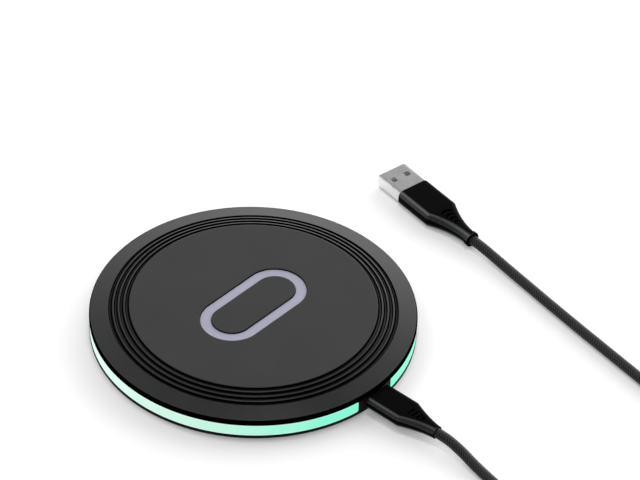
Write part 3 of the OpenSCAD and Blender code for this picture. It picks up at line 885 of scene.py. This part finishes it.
def make_foot_ring():
    """Rubber foot with two shallow grooves in its underside."""
    low, high = box_mm("foot_ring")
    chamfer, slope = 0.3, 0.1
    edge_fillet, lip_fillet, floor_fillet = 0.2, 0.1, 0.08
    outer = high.x
    inner = outer - FOOT_W
    corners = [(inner, high.z), (inner, chamfer), (inner + chamfer, low.z, edge_fillet)]
    for place_r in FOOT_GROOVES_AT:
        groove = inner + place_r
        corners += [
            (groove, low.z, lip_fillet), (groove + slope, FOOT_GROOVE_Z, floor_fillet),
            (groove + FOOT_GROOVE_W - slope, FOOT_GROOVE_Z, floor_fillet),
            (groove + FOOT_GROOVE_W, low.z, lip_fillet),
        ]
    corners += [(outer - chamfer, low.z, edge_fillet), (outer, chamfer), (outer, high.z)]
    shells = Shells()
    shells.skin([circle(p.x, p.y) for p in rounded(corners)], closed=True)
    weight_normals(place(shells.mesh("foot_ring_ribbed"), "pad", "foot_rubber", ["foot_ring"]))


# ---- Plugs -----------------------------------------------------------------


FRONT_FILLET, END_FILLET, COLLAR_CHAMFER = 0.45, 0.25, 0.12
LEAST_FLAT = 0.01


def round_section(diameter, y, z):
    """A round ring with as many points as any other section of a moulding."""
    return bar_section(diameter, diameter, diameter / 2 - LEAST_FLAT, y, z)


def moulding_rings(body, front, body_l, taper_l, tail_d, z, power, collar=None):
    """Rings of a plug's moulding, from its front face along -Y to its tail.

    The taper is hollow, and more so with a higher power. A collar has a diameter and a length.
    """
    width, height, radius = body
    steps, taper_steps = 4, 18
    rings = []
    for k in range(steps + 1):
        a = math.pi / 2 * k / steps
        inset = FRONT_FILLET * (1 - math.sin(a))
        rings.append(bar_section(
            width - 2 * inset, height - 2 * inset, radius - inset,
            front - FRONT_FILLET * (1 - math.cos(a)), z,
        ))
    rings.append(bar_section(width, height, radius, front - body_l / 2, z))
    for k in range(taper_steps + 1):
        share = k / taper_steps
        ease = 1 - (1 - share) ** power
        y = front - body_l - taper_l * share
        rings.append(bar_section(
            width + (tail_d - width) * ease, height + (tail_d - height) * ease,
            radius + (tail_d / 2 - LEAST_FLAT - radius) * ease, y, z,
        ))
    end_y, end_d = front - body_l - taper_l, tail_d
    if collar:
        end_d, length = collar
        rings.append(round_section(end_d - 2 * COLLAR_CHAMFER, end_y, z))
        rings.append(round_section(end_d, end_y - COLLAR_CHAMFER, z))
        end_y -= length - END_FILLET
        rings.append(round_section(end_d, end_y, z))
    for k in range(1, steps + 1):
        a = math.pi / 2 * k / steps
        d = end_d - 2 * END_FILLET * (1 - math.cos(a))
        rings.append(round_section(d, end_y - END_FILLET * math.sin(a), z))
    return rings


def slot_cutter(slots, bow, low, high, width):
    """Closed cutters for a row of round-ended slots: (length, y) each, bowed towards +Y."""
    shells = Shells()
    steps = 8
    for length, y in slots:
        rings = []
        for k in range(steps + 1):
            share = 2 * k / steps - 1
            x = share * length / 2
            centre = y + bow * (1 - share * share)
            into_end = max(0, abs(share) * 1.25 - 0.25)
            half = width / 2 * math.sqrt(max(0.1, 1 - into_end ** 4))
            rings.append([
                (x, centre - half, low), (x, centre + half, low),
                (x, centre + half, high), (x, centre - half, high),
            ])
        shells.skin(rings)
    return shells.mesh("slots")


def cut_slots(moulding, lengths, first_y, pitch, bow, z, from_middle, width):
    """Cuts a row of slots into the top and the bottom of a moulding's taper."""
    slots = [(length, first_y - pitch * k) for k, length in enumerate(lengths)]
    for side in (1, -1):
        low, high = sorted(z + side * height for height in from_middle)
        cut(moulding, slot_cutter(slots, bow, low, high, width))
    weight_normals(moulding)


def make_usb_c_moulding():
    """Plug moulding at the pad, with four slots in each side of its strain relief."""
    front = C_HIGH.y
    taper_l = front - C_LOW.y - C_BODY_L
    shells = Shells()
    shells.skin(moulding_rings(C_BODY, front, C_BODY_L, taper_l, C_TAIL_D, PORT_Z, C_TAPER_POWER))
    moulding = place(
        shells.mesh("usb_c_moulding"), "cable", "plug_rubber", ["usb_c_overmold"]
    )
    cut_slots(
        moulding, C_SLOT_LENGTHS, front - C_BODY_L - C_SLOT_START, C_SLOT_PITCH, C_SLOT_BOW,
        PORT_Z, C_SLOT_FROM_MIDDLE, C_SLOT_W,
    )
    return moulding


def a_matrix():
    """Where the far plug's own frame lies: its mouth at the mount, its lead towards -Y."""
    floor_point = Vector((A_MOUTH.x, A_MOUTH.y, 0)) * MM
    return Matrix.Translation(floor_point) @ Matrix.Rotation(A_TURN, 4, "Z")


def make_usb_a_moulding():
    """Plug moulding at the far end: hollow taper with bowed grooves, and an end collar."""
    front = -A_SHELL_L
    shells = Shells()
    shells.skin(moulding_rings(
        A_BODY, front, A_BODY_L, A_TAPER_L, A_TAIL_D, A_MOUTH.z, A_TAPER_POWER,
        collar=(A_COLLAR_D, A_COLLAR_L),
    ))
    moulding = place(
        shells.mesh("usb_a_moulding"), "cable", "plug_rubber", ["usb_a_overmold"], a_matrix()
    )
    cut_slots(
        moulding, A_SLOT_LENGTHS, front - A_BODY_L - A_SLOT_START, A_SLOT_PITCH, A_SLOT_BOW,
        A_MOUTH.z, A_SLOT_FROM_MIDDLE, A_SLOT_W,
    )
    return moulding


def shell_section(width, height, radius, marks):
    """An upright ring's (x, z) points, with extra ones at the marks along its top and bottom."""
    right_top, left_top, left_bottom, right_bottom = corner_arcs(width, height, radius, 4)
    top = [(x, height / 2) for x in sorted(marks, reverse=True)]
    bottom = [(x, -height / 2) for x in sorted(marks)]
    return right_top + top + left_top + left_bottom + bottom + right_bottom


def make_usb_a_shell():
    """Folded steel shell with two square windows in its top and two in its bottom."""
    half = WINDOW / 2
    marks = [side * WINDOW_X + edge for side in (-1, 1) for edge in (-half, half)]
    width, height, radius = A_SHELL
    wall = A_SHELL_WALL
    outer = shell_section(width, height, radius, marks)
    inner = shell_section(width - 2 * wall, height - 2 * wall, radius - wall, marks)
    stations = [0, WINDOW_Y + half, WINDOW_Y - half, -A_SHELL_L - A_EMBED]
    count = len(outer)
    shells = Shells()
    for layer in (outer, inner):
        for y in stations:
            shells.points += [(x, y, A_MOUTH.z + z) for x, z in layer]

    def at(layer, i, j):
        return (layer * len(stations) + i) * count + j % count

    def is_window(i, j):
        (x0, z0), (x1, z1) = outer[j], outer[(j + 1) % count]
        return i == 1 and abs(z0 - z1) < 1e-6 and abs(abs(x0 + x1) / 2 - WINDOW_X) < half

    for i in range(len(stations) - 1):
        for j in range(count):
            if is_window(i, j):
                rim = [(i, j), (i, j + 1), (i + 1, j + 1), (i + 1, j)]
                for (i0, j0), (i1, j1) in zip(rim, rim[1:] + rim[:1]):
                    shells.faces.append(
                        [at(0, i0, j0), at(0, i1, j1), at(1, i1, j1), at(1, i0, j0)]
                    )
                continue
            for layer in (0, 1):
                shells.faces.append([
                    at(layer, i, j), at(layer, i, j + 1),
                    at(layer, i + 1, j + 1), at(layer, i + 1, j),
                ])
    for i in (0, len(stations) - 1):
        for j in range(count):
            shells.faces.append([at(0, i, j), at(0, i, j + 1), at(1, i, j + 1), at(1, i, j)])
    shell = place(
        shells.mesh("usb_a_shell_folded"), "cable", "connector_steel", ["usb_a_shell"], a_matrix()
    )
    bevel = shell.modifiers.new("soft_edges", "BEVEL")
    bevel.width = A_SHELL_BEVEL * MM
    bevel.segments = 2
    bevel.limit_method = "ANGLE"
    bevel.angle_limit = math.radians(A_SHELL_BEVEL_DEG)
    bpy.context.view_layer.update()
    settle(shell)
    shade(shell.data)
    weight_normals(shell)
    return shell


def make_tie():
    """Hook-and-loop strap round the coil's turns."""
    inner_r = COIL_R - LOW_TURNS * TURN_W - CORD_D / 2
    outer_r = COIL_R + CORD_D / 2
    low, high = TIE_T / 2, 2 * CORD_D + 1.5 * TIE_T
    path = rounded([
        (inner_r - low, low, TIE_FILLET), (outer_r + low, low, TIE_FILLET),
        (outer_r + low, high, TIE_FILLET), (inner_r - low, high, TIE_FILLET),
    ], steps=6)
    half_w, half_t = TIE_W / 2, TIE_T / 2
    section = rounded([
        (-half_w, -half_t, TIE_EDGE_FILLET), (half_w, -half_t, TIE_EDGE_FILLET),
        (half_w, half_t, TIE_EDGE_FILLET), (-half_w, half_t, TIE_EDGE_FILLET),
    ])
    rings = []
    for i, point in enumerate(path):
        along = (path[(i + 1) % len(path)] - path[i - 1]).normalized()
        out = Vector((along.y, -along.x))
        ring = []
        for x, depth in section:
            r, z = point + out * depth
            ring.append((COIL_CENTRE.x + x, COIL_CENTRE.y - r, z))
        rings.append(ring)
    shells = Shells()
    shells.skin(rings, closed=True)
    return place(shells.mesh("coil_tie_strap"), "cable", "tie_rubber", ["cord_tie"])


def paint_cad_nodes():
    """Gives the CAD nodes that still show their slot's material."""
    for name, node in frame["nodes"].items():
        if node.hide_render:
            continue
        node.data.materials.clear()
        node.data.materials.append(MATERIALS[SLOTS[name]])


# ---- Stage and light -------------------------------------------------------

FLOOR_SIZE = 8.0
FLOOR_GLOW = 0.16
SKY_LEVELS = ((0.0, 0.95), (0.31, 0.95), (0.6, 0.62), (0.8, 0.26), (0.88, 0.12), (1.0, 0.1))
SKY_STRENGTH = 2.6
SIDE_GAIN = (-0.45, 0.55)
FRONT_SHARE = 0.08
LOW_DOWN, TO_RIGHT, BEHIND = (0.5, 0.82), (-0.35, 0.4), (-0.1, 0.4)  # where each share changes
LAMPS = (  # name, place and size in metres, power in watts
    ("front_soft_box", (-1.0, -1.2, 1.5), 0.9, 8),
    ("top_soft_box", (0.25, 0.2, 2.4), 0.6, 12),
    ("left_soft_box", (-0.6, 1.3, 1.7), 1.3, 9),
)


def make_floor():
    """White table, lifted to paper white. It is clear from below, to show the underside."""
    mesh = bpy.data.meshes.new("table")
    half = FLOOR_SIZE / 2
    corners = [(-half, -half, 0), (half, -half, 0), (half, half, 0), (-half, half, 0)]
    mesh.from_pydata(corners, [], [(0, 1, 2, 3)])
    floor = add_object("table", mesh)
    graph = Finish(
        Roughness=0.7, Specular_IOR_Level=0.2, Base_Color=(0.92, 0.92, 0.92, 1),
        Emission_Color=(1, 1, 1, 1), Emission_Strength=FLOOR_GLOW,
    )
    opaque = graph.shader.outputs["BSDF"]
    clear = graph.add("ShaderNodeBsdfTransparent").outputs["BSDF"]
    from_below = graph.add("ShaderNodeNewGeometry").outputs["Backfacing"]
    seen = graph.add("ShaderNodeMixShader", {0: from_below, 1: opaque, 2: clear})
    surface = graph.tree.nodes["Material Output"].inputs["Surface"]
    graph.tree.links.new(seen.outputs["Shader"], surface)
    mesh.materials.append(graph.material)


def make_world():
    """Studio surround: bright behind the pad, low down and to the right, and dark overhead."""
    world = bpy.data.worlds.new("studio")
    bpy.context.scene.world = world
    world.use_nodes = True
    graph = Graph(world.node_tree)
    background = graph.tree.nodes["Background"]
    direction = graph.add("ShaderNodeTexCoord").outputs["Generated"]
    height = graph.part(direction, "Z")

    def towards(x, y):
        """How far a direction is towards a level one."""
        node = graph.add(
            "ShaderNodeVectorMath", {0: direction, 1: (x, y, 0)}, operation="DOT_PRODUCT"
        )
        return node.outputs["Value"]

    c, s = math.cos(CAMERA_AZIMUTH), math.sin(CAMERA_AZIMUTH)
    levels = graph.ramp(height, *[(z, (level, level, level, 1)) for z, level in SKY_LEVELS])
    low_down = graph.span(height, *LOW_DOWN, 1.0, 0.0)
    to_right = graph.span(towards(c, s), *TO_RIGHT, *SIDE_GAIN)
    gain = graph.math("ADD", graph.math("MULTIPLY", low_down, to_right), 1.0)
    behind = graph.span(towards(-s, c), *BEHIND, FRONT_SHARE, 1.0)
    strength = graph.math("MULTIPLY", graph.math("MULTIPLY", gain, behind), SKY_STRENGTH)
    graph.tree.links.new(levels, background.inputs["Color"])
    graph.tree.links.new(strength, background.inputs["Strength"])


def make_lamp(name, location, size, power):
    """A square soft box aimed at the pad."""
    data = bpy.data.lights.new(name, "AREA")
    data.size = size
    data.energy = power
    lamp = add_object(name, data)
    lamp.location = location
    lamp.rotation_mode = "QUATERNION"
    lamp.rotation_quaternion = (-Vector(location)).to_track_quat("-Z", "Y")


# ---- The scene -------------------------------------------------------------

make_camera()
cord, cord_path = make_cord()
make_top_cover()
make_grip_ring()
make_light_guide()
make_foot_ring()
usb_c_moulding = make_usb_c_moulding()
usb_a_moulding = make_usb_a_moulding()
usb_a_shell = make_usb_a_shell()
coil_tie = make_tie()
paint_cad_nodes()

make_floor()
make_world()
for lamp in LAMPS:
    make_lamp(*lamp)
bpy.context.scene.view_settings.view_transform = "Standard"
